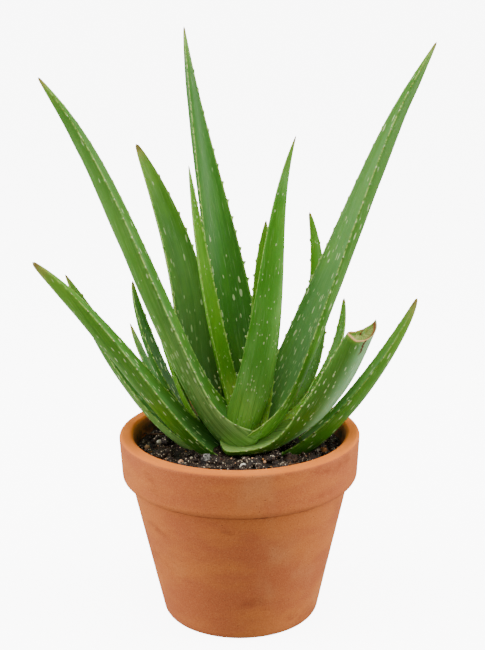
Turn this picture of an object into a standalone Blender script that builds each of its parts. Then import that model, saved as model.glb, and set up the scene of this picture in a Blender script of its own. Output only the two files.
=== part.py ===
"""Potted aloe: a terracotta pot of potting mix holding a rosette of toothed, channelled leaves.

Lengths in the tables are millimetres; meshes are built in metres with +Z up. The origin is the
centre of the pot's foot, on the surface that the pot stands on, with the front of the plant
towards -Y.
"""

import math
from dataclasses import dataclass

import bmesh
import bpy
import numpy as np
from mathutils import Vector, noise

MM = 0.001
GAP = 0.3  # clearance kept between touching pieces
SWELL = 0.4  # swelling of a cutter, which falls a little short between its vertices
SHELL_LIMIT = 2.5  # most that a sharp edge may multiply the clearance by
TURN_STEPS = 48

# Terracotta pot
RIM_RADIUS = 77.5
POT_HEIGHT = 124.0
BAND_HEIGHT = 29.5
BAND_FOOT_RADIUS = RIM_RADIUS - 1.7
SHOULDER_RADIUS = BAND_FOOT_RADIUS - 5.3
FOOT_RADIUS = 51.0
LIP_THICKNESS = 9.0
WALL_THICKNESS = 6.5
FLOOR_THICKNESS = 9.0
DRAIN_RADIUS = 9.0
BAND_FOOT_Z = POT_HEIGHT - BAND_HEIGHT

# Potting mix
SOIL_LEVEL = POT_HEIGHT - 12.0
LUMP_HEIGHT = 1.6
LUMP_SIZE = 16.0
SOIL_RINGS = 8

# Stem
STEM_CENTRE = (6.0, 6.0)
STEM_RADIUS = 9.0
STEM_TOP = 129.0
STEM_FOOT = 70.0
STEM_STEPS = 20

# Leaves
LEAF_RINGS = 15
HALF_SECTION_STEPS = 5
CLASP_REACH = 26.0  # length over which a base wraps round the stem
TIP_FRACTION = 0.985
TIP_LENGTH = 1.5
CUT_TAPER = 0.45  # how much of its width a cut leaf loses before the cut


@dataclass(frozen=True)
class Leaf:
    """One leaf: its midline from root to tip and the shape of its cross-section."""

    name: str
    midline: tuple  # points from root to tip
    facing: tuple  # compass angle of the hollow face at the root and at the tip, from +X, degrees
    width: float
    taper: float  # high values hold the width further along the leaf
    thickness: float = 0.36  # depth of the underside as a share of the width
    hollow: float = 0.15  # depth of the channel as a share of the width
    clasp: float = 8.0  # how far the margins reach round the stem at the root
    cut: bool = False


# From the innermost leaf of the rosette outwards; each one is hollowed by those before it.
LEAVES = (
    Leaf("leaf_centre_left", ((2, 8, 126), (-12, 9, 183), (-22, 9, 239), (-30, 8, 296)),
         facing=(-40, -50), width=14, taper=2.5, thickness=0.41, clasp=0),
    Leaf("leaf_centre_small", ((10, 6, 126), (15, 8, 171), (16, 12, 214), (18, 16, 259)),
         facing=(270, 270), width=17, taper=3.8),
    Leaf("leaf_front", ((2, 0, 126), (17, -6, 198), (24, -10, 261), (36, -14, 317)),
         facing=(80, 115), width=24, taper=1.7, thickness=0.26, clasp=9),
    Leaf("leaf_tallest", ((4, 12, 124), (-2, 22, 189), (-12, 32, 251), (-23, 42, 313), (-33, 52, 379)),
         facing=(260, 345), width=30, taper=2.1, thickness=0.41),
    Leaf("leaf_broad_left", ((2, 10, 122), (-26, 20, 157), (-31, 30, 198), (-44, 38, 254),
                             (-65, 44, 304)),
         facing=(-5, -65), width=29, taper=3.0, thickness=0.32, clasp=0),
    Leaf("leaf_back_right", ((12, 12, 121), (42, 28, 155), (52, 44, 206), (47, 56, 256)),
         facing=(235, 220), width=22, taper=1.9, thickness=0.28, clasp=8),
    Leaf("leaf_long_right", ((3, 2, 117), (28, 5, 159), (51, 9, 215), (74, 13, 272), (94, 18, 318),
                             (126, 24, 372)),
         facing=(210, 175), width=39, taper=3.4, thickness=0.30, clasp=12),
    Leaf("leaf_long_left", ((11, 0, 115), (-16, -6, 147), (-40, -12, 202), (-62, -18, 257),
                            (-84, -22, 306), (-118, -26, 356)),
         facing=(-20, 0), width=28, taper=3.0, thickness=0.46, clasp=11),
    Leaf("leaf_slip", ((-2, 8, 114), (-27, 8, 130), (-43, 10, 168), (-56, 12, 201)),
         facing=(35, -40), width=11, taper=2.7, thickness=0.40, clasp=0),
    Leaf("leaf_back_left", ((-2, 12, 112), (-34, 25, 130), (-58, 33, 176), (-69, 38, 214)),
         facing=(30, -40), width=20, taper=2.5, thickness=0.40, clasp=3),
    Leaf("leaf_back_short", ((12, 8, 114), (42, 26, 136), (62, 42, 161), (70, 50, 199)),
         facing=(160, 215), width=14, taper=4.0, thickness=0.29),
    Leaf("leaf_cut", ((1, -4, 112), (32, -16, 130), (58, -26, 166), (75, -32, 202)),
         facing=(135, 120), width=35, taper=3.1, thickness=0.26, clasp=0, cut=True),
    Leaf("leaf_low_right", ((12, 0, 106), (49, -4, 127), (85, -8, 170), (111, -10, 214)),
         facing=(155, 190), width=31, taper=2.4, thickness=0.35, clasp=0),
    Leaf("leaf_low_left", ((-1, -4, 111), (-30, -14, 133), (-51, -24, 162), (-71, -34, 192),
                           (-94, -41, 222), (-122, -46, 248)),
         facing=(-5, 15), width=26, taper=4.0, thickness=0.44, clasp=0),
    Leaf("leaf_under_left", ((-2, 2, 107), (-46, 6, 131), (-82, 10, 178), (-110, 12, 226)),
         facing=(-10, -40), width=24, taper=2.8, thickness=0.39, clasp=4),
    Leaf("leaf_young", ((-4, 18, 111), (-36, 44, 122), (-58, 57, 145), (-74, 64, 179)),
         facing=(50, -35), width=15, taper=3.6, thickness=0.25, clasp=4),
)


def clear_scene():
    for existing in list(bpy.data.objects):
        bpy.data.objects.remove(existing, do_unlink=True)


def make_material(name, colour, roughness):
    material = bpy.data.materials.new(name)
    material.use_nodes = True
    shader = material.node_tree.nodes["Principled BSDF"]
    shader.inputs["Base Color"].default_value = (*colour, 1.0)
    shader.inputs["Roughness"].default_value = roughness
    shader.inputs["Metallic"].default_value = 0.0
    material.diffuse_color = (*colour, 1.0)
    return material


def make_object(name, vertices, faces, material):
    """Build one object from millimetre vertices and face index lists, as outward triangles."""
    mesh = bpy.data.meshes.new(name)
    mesh.from_pydata([tuple(MM * float(c) for c in v) for v in vertices], [], faces)
    shell = bmesh.new()
    shell.from_mesh(mesh)
    bmesh.ops.recalc_face_normals(shell, faces=shell.faces)
    bmesh.ops.triangulate(shell, faces=shell.faces, quad_method="FIXED")
    shell.to_mesh(mesh)
    shell.free()
    mesh.shade_smooth()
    mesh.materials.append(material)
    obj = bpy.data.objects.new(name, mesh)
    bpy.context.scene.collection.objects.link(obj)
    return obj


def rounded_outline(corners, steps):
    """Fillet a closed outline given as (radius, height, fillet) corners."""
    outline = []
    count = len(corners)
    for i, (r, z, fillet) in enumerate(corners):
        here = np.array((r, z))
        back = np.array(corners[i - 1][:2]) - here
        ahead = np.array(corners[(i + 1) % count][:2]) - here
        back /= np.linalg.norm(back)
        ahead /= np.linalg.norm(ahead)
        half_angle = math.acos(np.clip(back @ ahead, -1, 1)) / 2
        reach = fillet / math.tan(half_angle)
        start = here + back * reach
        end = here + ahead * reach
        centre = here + (back + ahead) / np.linalg.norm(back + ahead) * fillet / math.sin(half_angle)
        first = math.atan2(*(start - centre)[::-1])
        sweep = math.atan2(*(end - centre)[::-1]) - first
        sweep = (sweep + math.pi) % (2 * math.pi) - math.pi
        for k in range(steps + 1):
            angle = first + sweep * k / steps
            outline.append(centre + fillet * np.array((math.cos(angle), math.sin(angle))))
    return outline


def turned_ring(name, outline, material):
    """Revolve a closed outline that stays off the axis."""
    vertices = []
    faces = []
    rows = len(outline)
    for step in range(TURN_STEPS):
        angle = 2 * math.pi * step / TURN_STEPS
        vertices += [(r * math.cos(angle), r * math.sin(angle), z) for r, z in outline]
        following = (step + 1) % TURN_STEPS
        for row in range(rows):
            up = (row + 1) % rows
            faces.append((step * rows + row, following * rows + row, following * rows + up, step * rows + up))
    return make_object(name, vertices, faces, material)


def cavity_radius(z):
    """Radius of the pot's inner wall at a height."""
    return float(np.interp(z, (FLOOR_THICKNESS, BAND_FOOT_Z, POT_HEIGHT),
                           (FOOT_RADIUS - WALL_THICKNESS, SHOULDER_RADIUS - WALL_THICKNESS,
                            RIM_RADIUS - LIP_THICKNESS)))


def build_pot():
    """Tapered body, thick rim band and an open drain hole, as one turned shell."""
    outline = rounded_outline((
        (DRAIN_RADIUS, 0, 1),
        (FOOT_RADIUS, 0, 5),
        (SHOULDER_RADIUS, BAND_FOOT_Z, 0.8),
        (BAND_FOOT_RADIUS, BAND_FOOT_Z, 3),
        (RIM_RADIUS, POT_HEIGHT, 4),
        (RIM_RADIUS - LIP_THICKNESS, POT_HEIGHT, 4),
        (SHOULDER_RADIUS - WALL_THICKNESS, BAND_FOOT_Z, 20),
        (FOOT_RADIUS - WALL_THICKNESS, FLOOR_THICKNESS, 5),
        (DRAIN_RADIUS, FLOOR_THICKNESS, 1),
    ), steps=2)
    return turned_ring("pot", outline, make_material("terracotta", (0.58, 0.29, 0.16), 0.85))


def build_stem(material):
    """Short stem that the leaves grow from, domed at its top."""
    profile = [(STEM_RADIUS * math.sin(a), STEM_TOP - STEM_RADIUS * (1 - math.cos(a)))
               for a in np.linspace(math.pi / 10, math.pi / 2, 5)]
    profile += [(STEM_RADIUS, STEM_FOOT + 8), (STEM_RADIUS - 3, STEM_FOOT)]
    rings = [circle(STEM_CENTRE, r, z, STEM_STEPS) for r, z in profile]
    return lofted("stem", rings, ((*STEM_CENTRE, STEM_TOP), None), material)


def side_faces(ring_count, steps, first=0):
    """Quads joining rings of equal size whose vertices start at index first."""
    faces = []
    for ring in range(ring_count - 1):
        base = first + ring * steps
        for k in range(steps):
            after = (k + 1) % steps
            faces.append((base + k, base + steps + k, base + steps + after, base + after))
    return faces


def fan_faces(point, base, steps):
    """Triangles from one point to the ring that starts at index base."""
    return [(point, base + k, base + (k + 1) % steps) for k in range(steps)]


def lofted(name, rings, ends, material):
    """Skin rings of points; an end is closed by a point, or flat where its point is None."""
    steps = len(rings[0])
    vertices = [tuple(v) for ring in rings for v in ring]
    faces = side_faces(len(rings), steps)
    for point, base in zip(ends, (0, len(vertices) - steps)):
        if point is None:
            faces.append(tuple(range(base, base + steps)))
        else:
            faces += fan_faces(len(vertices), base, steps)
            vertices.append(tuple(point))
    return make_object(name, vertices, faces, material)


def circle(centre, radius, z, steps):
    angles = [2 * math.pi * k / steps for k in range(steps)]
    return [(centre[0] + radius * math.cos(a), centre[1] + radius * math.sin(a), z) for a in angles]


def midline(points, steps):
    """Smooth curve through the points: places, directions and the length run at each step."""
    knots = np.linspace(0, 1, len(points))
    curve = np.polyfit(knots, np.array(points, float), len(points) - 1)
    slope = np.array([np.polyder(curve[:, axis]) for axis in range(3)]).T
    places = np.array([[np.polyval(curve[:, axis], u) for axis in range(3)] for u in steps])
    ways = np.array([[np.polyval(slope[:, axis], u) for axis in range(3)] for u in steps])
    ways /= np.linalg.norm(ways, axis=1)[:, None]
    run = np.concatenate(([0.0], np.cumsum(np.linalg.norm(np.diff(places, axis=0), axis=1))))
    return places, ways, run


def build_leaf(leaf, material):
    """Thick leaf with a rounded underside and a hollow upper face, lofted from root to tip."""
    last = 1.0 if leaf.cut else TIP_FRACTION
    places, ways, run = midline(leaf.midline, np.linspace(0, 1, LEAF_RINGS) ** 1.2 * last)
    share = run / run[-1] * last
    bearing = np.radians(np.interp(share, (0, 1), leaf.facing))
    inward = np.stack((np.cos(bearing), np.sin(bearing), np.ones(LEAF_RINGS)), axis=1)
    inward -= ways * np.sum(inward * ways, axis=1)[:, None]
    inward /= np.linalg.norm(inward, axis=1)[:, None]
    across = np.cross(ways, inward)
    width = leaf.width * (1 - (CUT_TAPER if leaf.cut else 1.0) * share ** leaf.taper)
    clasp = leaf.clasp * np.exp(-(run / CLASP_REACH) ** 2)
    angles = np.linspace(0, math.pi, HALF_SECTION_STEPS + 1)
    rings = []
    for k, place in enumerate(places):
        half = width[k] / 2
        under = [(-math.cos(a), -leaf.thickness * width[k] * math.sin(a)) for a in angles]
        over = [(math.cos(a), -leaf.hollow * width[k] * math.sin(a) ** 2) for a in angles[1:-1]]
        rings.append([place + s * half * across[k] + (q + clasp[k] * s ** 2) * inward[k]
                      for s, q in under + over])
    tip = None if leaf.cut else np.mean(rings[-1], axis=0) + ways[-1] * TIP_LENGTH
    return lofted(leaf.name, rings, (None, tip), material)


def soil_height(x, y, edge):
    """Crumbly surface of the mix, level where it meets the pot."""
    lump = noise.noise(Vector((x / LUMP_SIZE, y / LUMP_SIZE, 0.5)))
    calm = min(1.0, (edge - math.hypot(x, y)) / LUMP_SIZE)
    return SOIL_LEVEL + LUMP_HEIGHT * lump * calm


def build_soil(material):
    """One plug of mix that fills the pot up to the soil level."""
    edge = cavity_radius(SOIL_LEVEL) - GAP
    floor = FLOOR_THICKNESS + GAP
    rings = []
    for k in range(SOIL_RINGS):
        flat = circle((0, 0), edge * (k + 1) / SOIL_RINGS, 0, TURN_STEPS)
        rings.append([(x, y, soil_height(x, y, edge)) for x, y, _ in flat])
    walls = ((cavity_radius(BAND_FOOT_Z) - GAP - 0.6, BAND_FOOT_Z),
             (cavity_radius(FLOOR_THICKNESS + 6) - GAP, FLOOR_THICKNESS + 6),
             (cavity_radius(floor) - 6, floor))
    rings += [circle((0, 0), r, z, TURN_STEPS) for r, z in walls]
    return lofted("soil", rings, ((0, 0, soil_height(0, 0, edge)), None), material)


@dataclass(frozen=True)
class Crumb:
    """A larger grain lying in the surface of the mix."""

    name: str
    place: tuple
    size: tuple  # full length, breadth and height
    turn: float  # degrees about the vertical


CRUMBS = (
    Crumb("perlite_front", (2, -39), (5, 4, 4), 20),
    Crumb("perlite_front_left", (-21, -27), (8, 6, 5), 60),
    Crumb("perlite_left", (-52, 5), (5, 4, 4), 10),
    Crumb("perlite_right", (46, -8), (5, 4, 4), 35),
    Crumb("perlite_far_right", (59, 18), (4, 4, 3), 0),
    Crumb("perlite_back", (22, 52), (6, 5, 4), 50),
    Crumb("pebble_left", (-37, -29), (5, 4, 4), 70),
    Crumb("pebble_far_left", (-60, -3), (5, 4, 4), 15),
    Crumb("pebble_front", (8, -29), (5, 4, 4), 0),
    Crumb("bark_front", (17, -30), (7, 4, 3), 25),
    Crumb("bark_clump", (32, -25), (10, 8, 7), 0),
    Crumb("bark_right", (54, -10), (7, 4, 4), 120),
    Crumb("bark_back", (-14, 54), (9, 6, 4), 150),
)


def build_crumb(crumb, material):
    """Rounded irregular grain, bedded to half its height."""
    ball = bmesh.new()
    bmesh.ops.create_icosphere(ball, subdivisions=1, radius=1.0)
    x, y = crumb.place
    heading = math.radians(crumb.turn)
    vertices = []
    for corner in ball.verts:
        seed = corner.co * 1.7 + Vector((x, y, 0.0))
        bump = 1.0 + 0.25 * noise.noise(seed)
        along, aside, up = (c * s / 2 * bump for c, s in zip(corner.co, crumb.size))
        vertices.append((x + along * math.cos(heading) - aside * math.sin(heading),
                         y + along * math.sin(heading) + aside * math.cos(heading),
                         SOIL_LEVEL + 0.15 * crumb.size[2] + up))
    faces = [tuple(corner.index for corner in face.verts) for face in ball.faces]
    ball.free()
    return make_object(crumb.name, vertices, faces, material)


def bounds(obj):
    corners = np.array([tuple(v.co) for v in obj.data.vertices])
    return corners.min(axis=0), corners.max(axis=0)


def boxes_meet(first, second):
    low_a, high_a = bounds(first)
    low_b, high_b = bounds(second)
    return bool(np.all(low_a <= high_b) and np.all(low_b <= high_a))


def keep_main_body(obj):
    """Drop the loose crumbs of mesh that a cut leaves behind."""
    shell = bmesh.new()
    shell.from_mesh(obj.data)
    unseen = set(shell.verts)
    bodies = []
    while unseen:
        queue = [unseen.pop()]
        body = set(queue)
        while queue:
            for edge in queue.pop().link_edges:
                for vertex in edge.verts:
                    if vertex in unseen:
                        unseen.remove(vertex)
                        body.add(vertex)
                        queue.append(vertex)
        bodies.append(body)
    main = max(bodies, key=len)
    bmesh.ops.delete(shell, geom=[v for v in shell.verts if v not in main], context="VERTS")
    shell.to_mesh(obj.data)
    shell.free()


def carve(obj, cutters):
    """Cut every cutter that reaches the object out of it."""
    used = [cutter for cutter in cutters if boxes_meet(obj, cutter)]
    for cutter in used:
        cut = obj.modifiers.new(cutter.name, "BOOLEAN")
        cut.operation = "DIFFERENCE"
        cut.solver = "MANIFOLD"  # the exact solver empties these thin, nested roots
        cut.object = cutter
    if not used:
        return
    graph = bpy.context.evaluated_depsgraph_get()
    carved = bpy.data.meshes.new_from_object(obj.evaluated_get(graph))
    obj.modifiers.clear()
    obj.data = carved
    keep_main_body(obj)


def make_cutter(obj):
    """Copy of a whole piece, swollen all round."""
    mesh = obj.data.copy()
    shell = bmesh.new()
    shell.from_mesh(mesh)
    swell = [v.normal * min(v.calc_shell_factor(), SHELL_LIMIT) * SWELL * MM for v in shell.verts]
    for vertex, step in zip(shell.verts, swell):
        vertex.co += step
    shell.to_mesh(mesh)
    shell.free()
    cutter = bpy.data.objects.new(obj.name + "_cutter", mesh)
    bpy.context.scene.collection.objects.link(cutter)
    cutter.display_type = "WIRE"
    cutter.hide_render = True
    return cutter


def main():
    clear_scene()
    build_pot()
    pieces = [build_stem(make_material("stem_bark", (0.30, 0.32, 0.16), 0.8))]
    leaf_green = make_material("leaf_green", (0.12, 0.27, 0.05), 0.45)
    pieces += [build_leaf(leaf, leaf_green) for leaf in LEAVES]
    grains = {"perlite": make_material("perlite", (0.75, 0.72, 0.66), 0.9),
              "pebble": make_material("pebble", (0.42, 0.36, 0.31), 0.8),
              "bark": make_material("bark", (0.36, 0.22, 0.12), 0.9)}
    pieces += [build_crumb(crumb, grains[crumb.name.split("_")[0]]) for crumb in CRUMBS]
    pieces.append(build_soil(make_material("potting_mix", (0.03, 0.022, 0.016), 0.95)))
    cutters = []
    for piece in pieces:
        cutter = make_cutter(piece)
        carve(piece, cutters)
        cutters.append(cutter)


main()
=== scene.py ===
"""Finished look of a potted aloe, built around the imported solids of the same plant.

Every solid gets a fine surface of its own in the place that it holds: the thrown clay pot, the
crumbly potting mix with its grains, the stem and each toothed leaf. Lengths in the tables are
millimetres. Meshes are made in metres, with +Z up and the front of the plant towards -Y.
"""

import logging
import math
from dataclasses import dataclass, field, replace
from enum import Enum
from functools import cache

import bmesh
import bpy
import numpy as np
from mathutils import Matrix, Vector, noise
from mathutils.bvhtree import BVHTree


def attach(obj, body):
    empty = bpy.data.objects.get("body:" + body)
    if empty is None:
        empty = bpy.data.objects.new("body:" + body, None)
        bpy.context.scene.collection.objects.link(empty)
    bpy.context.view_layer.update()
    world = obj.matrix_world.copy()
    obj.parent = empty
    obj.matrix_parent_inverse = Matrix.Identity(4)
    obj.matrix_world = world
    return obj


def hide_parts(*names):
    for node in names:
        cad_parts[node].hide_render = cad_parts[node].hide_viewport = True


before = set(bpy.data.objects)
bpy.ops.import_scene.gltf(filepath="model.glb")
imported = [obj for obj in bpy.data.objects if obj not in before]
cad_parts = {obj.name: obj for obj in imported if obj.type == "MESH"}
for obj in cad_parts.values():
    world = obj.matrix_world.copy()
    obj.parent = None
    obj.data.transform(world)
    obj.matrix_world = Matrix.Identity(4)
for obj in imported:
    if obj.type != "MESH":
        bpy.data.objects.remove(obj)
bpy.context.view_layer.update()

MM = 0.001
BODY = "root"
LOG = logging.getLogger("potted_aloe")

Colour = tuple[float, float, float]


class Slot(Enum):
    """Material slots of the record; each finish holds the one that it stands for."""

    TERRACOTTA = "terracotta"
    MIX = "potting_mix"
    STEM = "stem_bark"
    LEAF = "leaf_green"
    PERLITE = "perlite"
    PEBBLE = "pebble"
    BARK = "bark"


def tint(red: int, green: int, blue: int) -> Colour:
    """Turn a colour given in the 0-255 steps of a paint chart into linear light.

    Args:
        red: Red step.
        green: Green step.
        blue: Blue step.

    Returns:
        The linear red, green and blue.
    """
    steps = np.array((red, green, blue)) / 255
    light = np.where(steps <= 0.04045, steps / 12.92, ((steps + 0.055) / 1.055) ** 2.4)
    return tuple(float(part) for part in light)


# ---- Shader maths ----


class Wire:
    """An output socket that takes part in Python arithmetic; each operation adds a Math node."""

    def __init__(self, board: "Board", socket: bpy.types.NodeSocket) -> None:
        """Wrap an output socket of a material's node board."""
        self.board = board
        self.socket = socket

    def maths(self, operation: str, *operands: "Wire | float") -> "Wire":
        """Join operands by a Math node of the given operation."""
        return self.board.node("ShaderNodeMath", {"operation": operation}, dict(enumerate(operands)))

    def __add__(self, other: "Wire | float") -> "Wire":
        """Sum."""
        return self.maths("ADD", self, other)

    def __radd__(self, other: float) -> "Wire":
        """Sum, with the number first."""
        return self.maths("ADD", other, self)

    def __sub__(self, other: "Wire | float") -> "Wire":
        """Difference."""
        return self.maths("SUBTRACT", self, other)

    def __rsub__(self, other: float) -> "Wire":
        """Difference, with the number first."""
        return self.maths("SUBTRACT", other, self)

    def __mul__(self, other: "Wire | float") -> "Wire":
        """Product."""
        return self.maths("MULTIPLY", self, other)

    def __rmul__(self, other: float) -> "Wire":
        """Product, with the number first."""
        return self.maths("MULTIPLY", other, self)

    def __truediv__(self, other: "Wire | float") -> "Wire":
        """Quotient."""
        return self.maths("DIVIDE", self, other)

    def __rtruediv__(self, other: float) -> "Wire":
        """Quotient, with the number first."""
        return self.maths("DIVIDE", other, self)

    def __abs__(self) -> "Wire":
        """Size without sign."""
        return self.maths("ABSOLUTE", self)

    def ease(self, low: float, high: float) -> "Wire":
        """Go smoothly from 0 at one value to 1 at another, which may be the lower one.

        Args:
            low: Value that gives 0.
            high: Value that gives 1.

        Returns:
            The eased mask.
        """
        settings = {"interpolation_type": "SMOOTHSTEP"}
        if low <= high:
            return self.board.node("ShaderNodeMapRange", settings, {"Value": self, 1: low, 2: high})
        return 1 - self.board.node("ShaderNodeMapRange", settings, {"Value": self, 1: high, 2: low})


class Board:
    """Node board of one material, with the calls that its finishes are written in."""

    def __init__(self, name: str) -> None:
        """Start a material around a Principled shader.

        Args:
            name: The material's name.
        """
        self.material = bpy.data.materials.new(name)
        self.material.use_nodes = True
        self.tree = self.material.node_tree
        self.shader = self.tree.nodes["Principled BSDF"]

    def plug(self, socket: bpy.types.NodeSocket, value: "Wire | float | Colour") -> None:
        """Link a wire to an input, or set the input's own value.

        Args:
            socket: The input socket.
            value: A wire, a number, or three numbers.
        """
        if isinstance(value, Wire):
            self.tree.links.new(value.socket, socket)
        elif isinstance(value, tuple) and socket.type == "RGBA":
            socket.default_value = (*value, 1.0)
        else:
            socket.default_value = value

    def node(self, kind: str, settings: dict | None = None, inputs: dict | None = None,
             output: int | str = 0) -> Wire:
        """Add any node: its settings first, then its inputs.

        Args:
            kind: The node's type.
            settings: Attributes of the node; "stops" holds a ramp's (place, colour) pairs.
            inputs: Values or wires by socket index or name.
            output: Index or name of the output wanted.

        Returns:
            The wanted output.
        """
        made = self.tree.nodes.new(kind)
        for name, value in (settings or {}).items():
            if name == "stops":
                self._fill_ramp(made.color_ramp, value)
            else:
                setattr(made, name, value)
        for name, value in (inputs or {}).items():
            self.plug(made.inputs[name], value)
        return Wire(self, made.outputs[output])

    @staticmethod
    def _fill_ramp(ramp: bpy.types.ColorRamp, stops: tuple) -> None:
        """Set a ramp's stops.

        Args:
            ramp: The ramp.
            stops: (place, colour) pairs, from left to right.
        """
        while len(ramp.elements) < len(stops):
            ramp.elements.new(1.0)
        for element, (place, colour) in zip(ramp.elements, stops):
            element.position = place
            element.color = (*colour, 1.0)

    def mix(self, mask: Wire | float, below: Wire | Colour, above: Wire | Colour) -> Wire:
        """Lay the colour above over the one below where the mask is 1."""
        settings = {"data_type": "RGBA", "clamp_factor": True}
        return self.node("ShaderNodeMix", settings, {0: mask, 6: below, 7: above}, output=2)

    def paint(self, colour: Wire | Colour, layers: tuple) -> Wire:
        """Lay colours over a colour, one after the other.

        Args:
            colour: The lowest colour.
            layers: (mask, colour) pairs, from the lowest up.

        Returns:
            The painted colour.
        """
        for mask, above in layers:
            colour = self.mix(mask, colour, above)
        return colour

    def vector(self, x: Wire | float, y: Wire | float, z: Wire | float) -> Wire:
        """Join three numbers into a vector."""
        return self.node("ShaderNodeCombineXYZ", None, {0: x, 1: y, 2: z})

    def place(self, stretch: tuple[float, float, float] = (1.0, 1.0, 1.0)) -> Wire:
        """Place on the object in metres, with X, Y and Z stretched by three factors."""
        here = self.node("ShaderNodeTexCoord", output="Object")
        return self.node("ShaderNodeVectorMath", {"operation": "MULTIPLY"}, {0: here, 1: stretch})

    def parts(self, kind: str, whole: Wire) -> tuple[Wire, ...]:
        """Split a vector or a colour by the separating node of its kind."""
        split = self.node(kind, None, {0: whole}).socket.node
        return tuple(Wire(self, output) for output in split.outputs)

    def values(self, name: str) -> tuple[Wire, ...]:
        """Read the three numbers that a mesh keeps at its points under a name."""
        whole = self.node("ShaderNodeAttribute", {"attribute_name": name}, output="Vector")
        return self.parts("ShaderNodeSeparateXYZ", whole)

    def cloud(self, where: Wire, scale: float, detail: float = 3.0, rough: float = 0.5) -> Wire:
        """Soft noise around 0.5 of the given scale, number of finer layers and their strength."""
        return self.node("ShaderNodeTexNoise", None,
                         {"Vector": where, "Scale": scale, "Detail": detail, "Roughness": rough})

    def cells(self, where: Wire, scale: float, flat: bool = False) -> tuple[Wire, Wire, Wire]:
        """Irregular cells, each with numbers of its own.

        Args:
            where: Place vector.
            scale: Cells per unit.
            flat: Whether the cells lie in the plane of the first two parts.

        Returns:
            Distance from the cell's middle, and two numbers drawn for the cell.
        """
        settings = {"voronoi_dimensions": "2D" if flat else "3D"}
        near = self.node("ShaderNodeTexVoronoi", settings, {"Vector": where, "Scale": scale})
        drawn = Wire(self, near.socket.node.outputs["Color"])
        first, second, _ = self.parts("ShaderNodeSeparateColor", drawn)
        return near, first, second

    def specks(self, scale: float, share: float, size: float) -> Wire:
        """Mask of round specks: cells per metre, share of cells used, radius as a share of a cell."""
        near, lot, _ = self.cells(self.place(), scale)
        return near.ease(size, size * 0.5) * lot.ease(share + 0.01, share)

    def bump(self, height: Wire, depth: float, strength: float = 1.0) -> None:
        """Feed a height of 0 to 1, which stands for a depth in metres, to the shader's normal."""
        inputs = {"Height": height, "Distance": depth, "Strength": strength}
        self.plug(self.shader.inputs["Normal"], self.node("ShaderNodeBump", None, inputs))

    def finish(self, colour: Wire | Colour, rough: Wire | float,
               **fixed: float | tuple) -> bpy.types.Material:
        """Wire up the shader.

        Args:
            colour: Base colour.
            rough: Roughness.
            **fixed: Other inputs of the shader by name, with _ for a space, that are the same all over.

        Returns:
            The finished material.
        """
        self.plug(self.shader.inputs["Base Color"], colour)
        self.plug(self.shader.inputs["Roughness"], rough)
        for name, value in fixed.items():
            self.shader.inputs[name.replace("_", " ")].default_value = value
        return self.material


# ---- Finishes ----


@dataclass(frozen=True)
class Clay:
    """Unglazed terracotta with iron mottling, a pale bloom, pits and soil splashed inside."""

    name: str = "terracotta_clay"
    slot: Slot = Slot.TERRACOTTA
    body: Colour = tint(184, 100, 56)
    warm: Colour = tint(198, 114, 56)
    rose: Colour = tint(150, 74, 42)
    bloom: Colour = tint(214, 148, 92)
    # Painted highlight: the rim's top is painted lighter where the top light falls on it.
    rim_highlight: Colour = tint(232, 126, 36)
    pit: Colour = tint(84, 42, 24)
    splash: Colour = tint(70, 50, 36)
    joint: float = 31.3  # millimetres from the rim to the joint under the band
    rough: float = 0.82

    def material(self) -> bpy.types.Material:
        """Build the material.

        Returns:
            The material.
        """
        board = Board(self.name)
        here = board.place()
        patch = board.cloud(board.place((1.0, 1.0, 2.4)), 16.0, 4.0, 0.55)
        stain = board.cloud(board.place((1.0, 1.0, 1.7)), 31.0, 5.0, 0.62)
        veil = board.cloud(board.place((1.0, 1.0, 0.6)), 22.0, 3.0, 0.5)
        grain = board.cloud(here, 1300.0, 3.0, 0.7)
        wet = board.cloud(here, 70.0, 5.0, 0.65)
        throwing = board.cloud(board.place((0.06, 0.06, 1.0)), 420.0, 2.0, 0.5)
        pits = board.specks(270.0, 0.40, 0.10)
        depth, inside, _ = board.values("wall")
        # Painted shade: a dark line in the crease under the band's lower edge, broken up by noise.
        shade_under_band = abs(depth - self.joint).ease(1.6, 0.2) * (1 - inside)
        soiled = depth.ease(1.5, 8.0) * (wet + 0.22).ease(0.45, 0.85) * inside
        colour = board.paint(self.body, (
            (patch.ease(0.40, 0.62), self.warm),
            (stain.ease(0.54, 0.74) * 0.75, self.rose),
            (veil.ease(0.56, 0.78) * 0.45, self.bloom),
            (grain.ease(0.45, 0.68) * 0.38, self.rose),
            (grain.ease(0.47, 0.32) * 0.22, self.bloom),
            (pits * 0.8 + board.specks(430.0, 0.40, 0.13) * 0.55, self.pit),
            (board.specks(560.0, 0.30, 0.18) * 0.35, self.bloom),
            # Painted highlight on the rim's top.
            (depth.ease(1.8, 0.8) * 0.65, self.rim_highlight),
            # Painted shade in the crease under the band.
            (shade_under_band * (0.35 + wet.ease(0.50, 0.62) * 0.5), self.pit),
            (soiled, self.splash),
        ))
        board.bump(grain * 0.5 + throwing * 0.35 - pits * 1.2 + patch * 0.4, 0.0005, 0.5)
        rough = self.rough + (grain - 0.5) * 0.16 - soiled * 0.1
        return board.finish(colour, rough, Specular_IOR_Level=0.15)


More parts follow.
